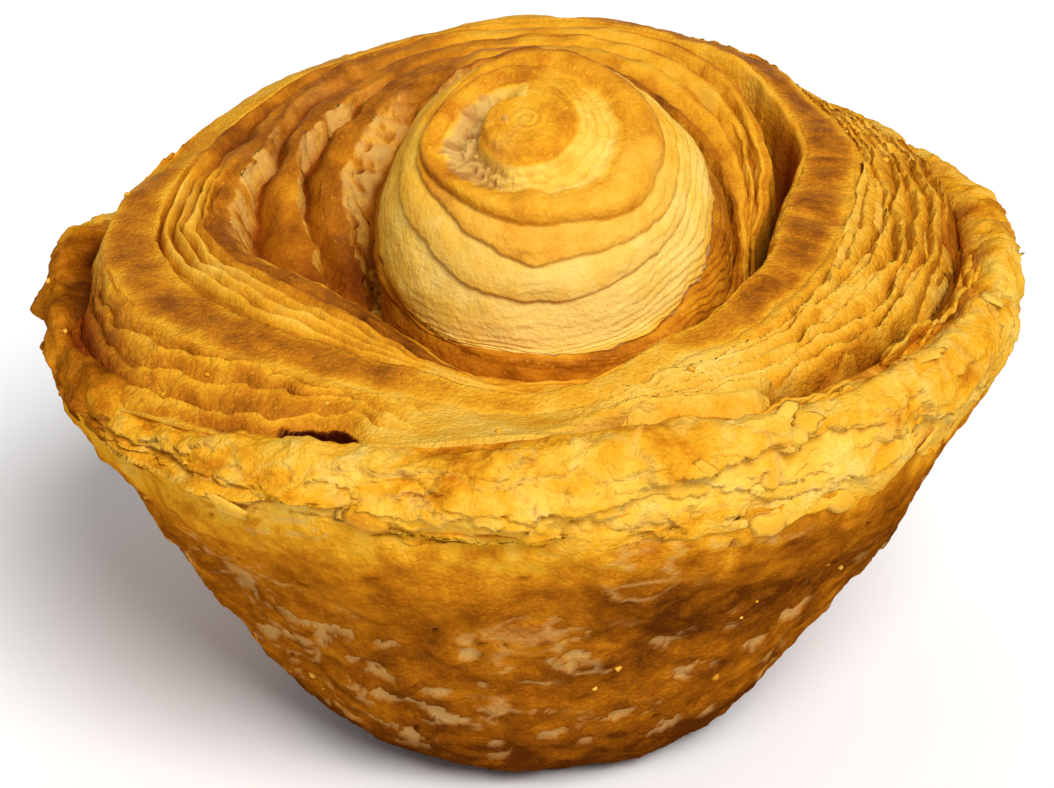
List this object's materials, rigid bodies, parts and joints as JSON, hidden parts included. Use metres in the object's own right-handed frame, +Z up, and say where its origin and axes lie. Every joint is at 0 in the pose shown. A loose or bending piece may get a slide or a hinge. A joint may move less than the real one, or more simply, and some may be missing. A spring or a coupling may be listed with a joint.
{
  "type": "meat pie",
  "caption": "Small uncut round meat pie: a deep flared pastry case with a thick pinched rim, closed by a coiled puff pastry lid whose middle rises into a leaning rosette.",
  "frame": {"origin": "middle of the flat base that the pie rests on", "axes": "+Z up through the lid, -Y to the front, where the rosette leans"},
  "size_m": [0.112, 0.1106, 0.0775],
  "materials": {
    "baked_crust": "matt, floury and blistered, browned at the foot and the rim",
    "puff_pastry": "flaky, with browned edges and a slight egg glaze"
  },
  "bodies": {
    "root": {"pastry_case": "baked_crust", "spiral_lid": "puff_pastry"}
  },
  "joints": []
}
